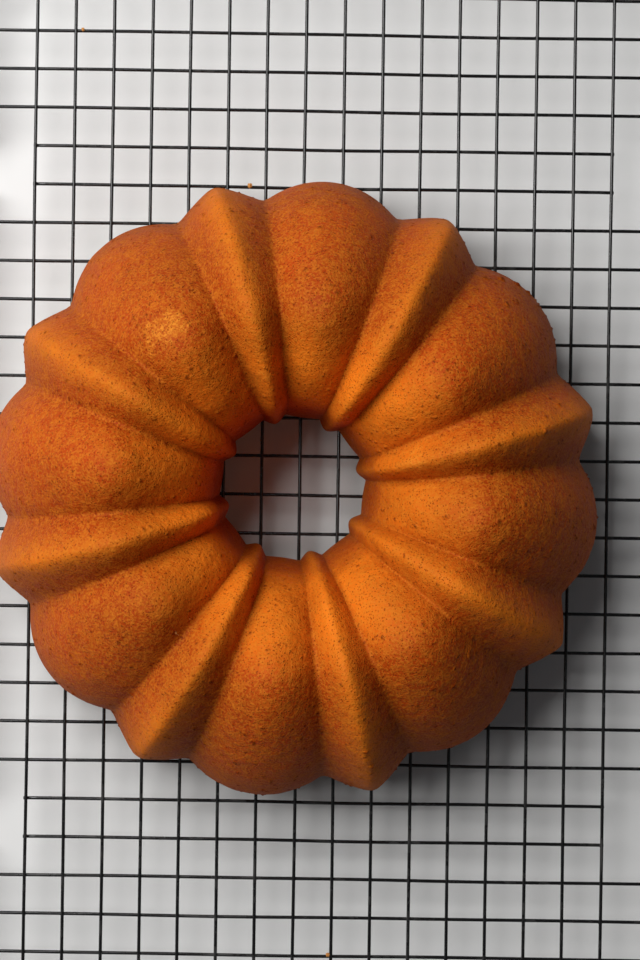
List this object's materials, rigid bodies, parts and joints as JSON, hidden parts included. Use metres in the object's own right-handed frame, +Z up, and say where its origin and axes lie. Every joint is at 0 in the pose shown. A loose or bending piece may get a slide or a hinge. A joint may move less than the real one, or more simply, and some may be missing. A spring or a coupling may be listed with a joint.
{
  "type": "fluted ring cake on a wire cooling rack",
  "caption": "Tall ring-shaped cake with round lobes and sharp ridges by turns, standing loose on a low black wire grid rack with bent-wire feet.",
  "frame": {"origin": "on the table, under the middle of the rack", "axes": "+Z up, +Y along the rack's length, +X across it"},
  "size_m": [0.264, 0.406, 0.0994],
  "materials": {
    "rack_coating": "satin",
    "cake_crust": "matte",
    "cake_crumb": "matte",
    "base_crust": "matte"
  },
  "bodies": {
    "rack": {"outer_frame": "rack_coating", "long_wire_01": "rack_coating", "long_wire_02": "rack_coating", "long_wire_03": "rack_coating", "long_wire_04": "rack_coating", "long_wire_05": "rack_coating", "long_wire_06": "rack_coating", "long_wire_07": "rack_coating", "long_wire_08": "rack_coating", "long_wire_09": "rack_coating", "long_wire_10": "rack_coating", "long_wire_11": "rack_coating", "long_wire_12": "rack_coating", "long_wire_13": "rack_coating", "long_wire_14": "rack_coating", "long_wire_15": "rack_coating", "long_wire_16": "rack_coating", "cross_wire_01": "rack_coating", "cross_wire_02": "rack_coating", "cross_wire_03": "rack_coating", "cross_wire_04": "rack_coating", "cross_wire_05": "rack_coating", "cross_wire_06": "rack_coating", "cross_wire_07": "rack_coating", "cross_wire_08": "rack_coating", "cross_wire_09": "rack_coating", "cross_wire_10": "rack_coating", "cross_wire_11": "rack_coating", "cross_wire_12": "rack_coating", "cross_wire_13": "rack_coating", "cross_wire_14": "rack_coating", "cross_wire_15": "rack_coating", "cross_wire_16": "rack_coating", "cross_wire_17": "rack_coating", "cross_wire_18": "rack_coating", "cross_wire_19": "rack_coating", "cross_wire_20": "rack_coating", "cross_wire_21": "rack_coating", "cross_wire_22": "rack_coating", "cross_wire_23": "rack_coating", "cross_wire_24": "rack_coating", "cross_wire_25": "rack_coating", "cross_wire_26": "rack_coating", "cross_wire_27": "rack_coating"},
    "cake": {"cake_crumb": "cake_crumb", "cake_crust": "cake_crust", "base_crust": "base_crust"}
  },
  "joints": [
    {"name": "cake_lift", "type": "slide", "parent": "rack", "child": "cake", "axis": [0, 0, 1], "range_m": [0, 0.12]}
  ]
}
